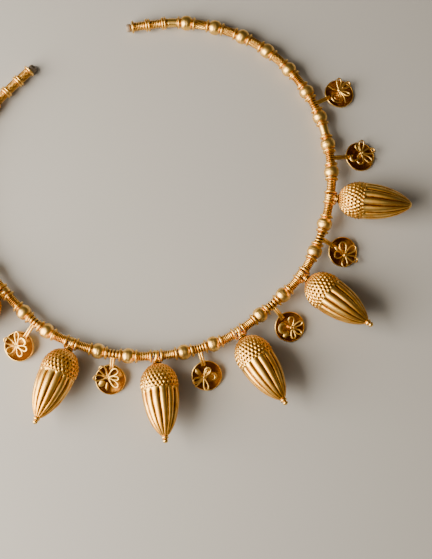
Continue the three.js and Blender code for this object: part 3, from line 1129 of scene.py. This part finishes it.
def rosette_flower(shift_out, shift_side, boss, petals, yaw, seed):
    """The flower over the disc. Its petals are given by their directions on the table."""
    parts = [
        petal(kind, degrees - math.degrees(yaw), reach, half_width, seed + i)
        for i, (kind, degrees, reach, half_width) in enumerate(petals)
    ]
    flower = joined(*parts)
    transform(flower, Matrix.Translation((0, 0, PETAL_HEIGHT)))
    top = PETAL_HEIGHT + 0.1
    stem = turned([(0, -0.3), (1.0, -0.3), (0.75, 0.5), (0.62, top), (0, top)], STEM_STEPS)
    transform(stem, Matrix.Rotation(math.pi / 2, 3, "X"))
    whole = joined(flower, stem, flower_boss(boss))
    for vert in whole.verts:
        share = max(0, min(1, vert.co.z / PETAL_HEIGHT))
        vert.co.x += shift_out * share
        vert.co.y += shift_side * share
    return whole


def rosette(height, direction, coils, reach, yaw, flower):
    disc = joined(
        rosette_disc(flower["seed"]),
        rosette_flower(*flower["shift"], flower["boss"], flower["petals"], yaw, flower["seed"]),
    )
    transform(disc, Matrix.Translation((reach, 0, 0)))
    pendant = joined(disc, rosette_strip(reach - DISC_RADIUS + STRIP_LAP))
    tip_to_rest(pendant, -height)
    tube = ribbed_tube(coils, ROSETTE_TUBE_LENGTH, ROSETTE_RIB_DEPTH)
    transform(tube, frame_beside(direction))
    return joined(pendant, tube)


# %% [markdown]
# ## Threading the strand
# Now the strand is strung from its right end round to its left one. Tubes and round
# beads are bent along the lay. Pendants keep their straight loop, and turn square to
# the strand with a small swing of their own.

# %% Choices for each piece
TUBE_KINDS = {3: "plain", 4: "slanting", 9: "plain", **dict.fromkeys((5, 6, 7, 26, 27, 28), "granular")}
ACORN_SWINGS = [1, -2, -1, 3, -1, -4]
ACORN_COILS = [3, 3, 2, 2, 3, 2]
ACORNS_WITHOUT_KNOP = [1]
ROSETTE_SWINGS = [-0.5, 0.6, -9, 0, 1, 2, 4, -3, 2]
ROSETTE_REACHES = [10.5, 11.1, 9.7, 10, 9.9, 9, 10.3, 10, 10]
ROSETTE_COILS = [4, 5, 3, 3, 4, 3, 3, 4, 4]
FLOWER_SHIFTS = [
    (0.2, 0.8), (0.3, 1.0), (0.9, -0.8), (0.6, 0.2), (0.2, -1.1),
    (-0.9, -0.8), (0, -0.5), (0.4, 0.5), (-0.3, 0.6),
]
FLOWER_BOSSES = ["ball", "bead", "ball", "ring", "bead", "bead", "bead", "ball", "bead"]

# Each petal: its kind, its direction on the table in degrees, its reach and its half width.
FLOWER_PETALS = [
    [
        ("loop", 91, 4.4, 0.9), ("ring", 37, 4.8, 1.1), ("loop", -28, 4.1, 0.8), ("wire", -67, 5.3, 0.5),
        ("ring", -110, 5.0, 2.2), ("wire", 163, 4.2, 0.4),
    ],
    [
        ("loop", 88, 4.4, 0.95), ("loop", 14, 5.0, 1.1), ("loop", -43, 4.9, 1.1), ("loop", -100, 4.5, 1.3),
        ("crescent", 214, 4.6, 1.1), ("ring", 130, 3.4, 0.8),
    ],
    [
        ("loop", 104, 4.6, 1.4), ("loop", 40, 4.8, 1.15), ("loop", -23, 4.9, 1.1), ("loop", -94, 4.2, 1.2),
        ("loop", 181, 4.2, 1.3), ("plate", 142, 4.4, 0.9),
    ],
    [
        ("loop", 98, 4.0, 1.1), ("loop", 33, 4.1, 0.75), ("loop", -30, 3.8, 0.8), ("loop", -80, 3.7, 0.85),
        ("crescent", 183, 4.6, 1.6), ("plate", -128, 4.3, 0.9),
    ],
    [
        ("loop", -75, 4.3, 0.9), ("wire", -135, 4.4, 0.2), ("wire", -155, 4.4, 0.2),
        ("crescent", 8, 4.3, 1.1), ("ring", 62, 3.8, 1.1), ("plate", 140, 4.2, 0.9), ("loop", 200, 3.8, 0.9),
    ],
    [
        ("loop", 121, 4.6, 1.15), ("loop", 182, 4.9, 1.1), ("loop", 40, 4.4, 1.2), ("loop", -5, 3.8, 0.75),
        ("loop", -42, 4.6, 1.0), ("plate", -98, 4.4, 0.5), ("plate", -138, 4.3, 1.1),
    ],
    [
        ("crescent", 35, 3.8, 1.25), ("loop", 86, 5.0, 0.85), ("loop", 150, 4.9, 1.1),
        ("loop", 212, 4.0, 1.2), ("loop", -66, 3.8, 1.05), ("loop", -18, 3.9, 1.0),
    ],
    [
        ("loop", 0, 4.2, 1.0), ("loop", 60, 4.2, 1.0), ("loop", 120, 4.2, 1.0), ("loop", 180, 4.2, 1.0),
        ("loop", 240, 4.2, 1.0), ("loop", 300, 4.2, 1.0),
    ],
    [
        ("loop", 25, 4.2, 1.0), ("loop", 85, 4.2, 1.0), ("loop", 145, 4.2, 1.0), ("loop", 205, 4.2, 1.0),
        ("loop", 265, 4.2, 1.0), ("loop", 325, 4.2, 1.0),
    ],
]

slots = {part["node"]: part["material_slot"] for part in frame["record"]["subparts"]}
counts = {}


def count(kind):
    counts[kind] = counts.get(kind, 0) + 1
    return counts[kind]


def place_pendant(kind, number, start, node):
    """Makes an acorn or a rosette square to its chord of the strand, and places it."""
    ends = strand_point(start), strand_point(start + LENGTHS[kind])
    middle = (ends[0] + ends[1]) / 2
    along = (ends[1] - ends[0]).normalized()
    swing = (ACORN_SWINGS if kind == "a" else ROSETTE_SWINGS)[number - 1]
    yaw = math.atan2(along.x, -along.y) + math.radians(swing)
    direction = Matrix.Rotation(-yaw, 3, "Z") @ along
    if kind == "a":
        has_knop = number not in ACORNS_WITHOUT_KNOP
        bm = acorn(middle.z, direction, has_knop, ACORN_COILS[number - 1], number)
        name = f"gold_acorn_{number}"
    else:
        flower = {
            "shift": FLOWER_SHIFTS[number - 1],
            "boss": FLOWER_BOSSES[number - 1],
            "petals": FLOWER_PETALS[number - 1],
            "seed": 10 * number,
        }
        coils, reach = ROSETTE_COILS[number - 1], ROSETTE_REACHES[number - 1]
        bm = rosette(middle.z, direction, coils, reach, yaw, flower)
        name = f"gold_rosette_{number}"
    transform(bm, Matrix.Translation(middle) @ Matrix.Rotation(yaw, 4, "Z"))
    return add_piece(name, bm, node, worked_gold, "worked_gold")


def place_end_bead(start, node):
    side = "right" if start == 0 else "left"
    ends = strand_point(start), strand_point(start + LENGTHS["e"])
    middle = (ends[0] + ends[1]) / 2
    bm = end_bead(side, ends[1] - ends[0])
    transform(bm, Matrix.Translation((middle.x, middle.y, 0)))
    return add_piece(f"dull_end_bead_{side}", bm, node, end_bead_tarnish, "tarnished_end_bead")


def place_bead(kind, start, node):
    middle = start + LENGTHS[kind] / 2
    if kind == "t":
        number = count("tube bead")
        bm = tube_bead(TUBE_KINDS.get(number, "ribbed"))
        name = f"gold_tube_{number}"
    else:
        number = count("round bead")
        bm = round_bead(number)
        name = f"gold_bead_{number}"
    lay_along(bm, middle)
    finish = (worked_gold, "worked_gold") if kind == "t" else (burnished_gold, slots[node])
    return add_piece(name, bm, node, *finish)


# %% String the necklace
def node_name(word, start):
    """The CAD node that holds a word of the strand."""
    side = "right" if start < strand_length / 2 else "left"
    if word == "e":
        return f"end_bead_{side}"
    if word == "tt":
        return f"end_tubes_{side}"
    kinds = {"t": "tube", "b": "bead", "r": "rosette", "a": "acorn"}
    kind = kinds.get(word, "tube_and_bead")
    return f"{kind}_{count(kind)}"


def string_word(word, at):
    node = node_name(word, starts[at])
    if word == "e":
        place_end_bead(starts[at], node)
    elif word in "ra":
        place_pendant(word, counts[node.rsplit("_", 1)[0]], starts[at], node)
    else:
        for i, kind in enumerate(word):
            place_bead(kind, starts[at + i], node)


at = 0
for word in words:
    string_word(word, at)
    at += len(word)
print(len(triangles), "pieces,", sum(triangles.values()), "triangles, at most", max(triangles.values()))
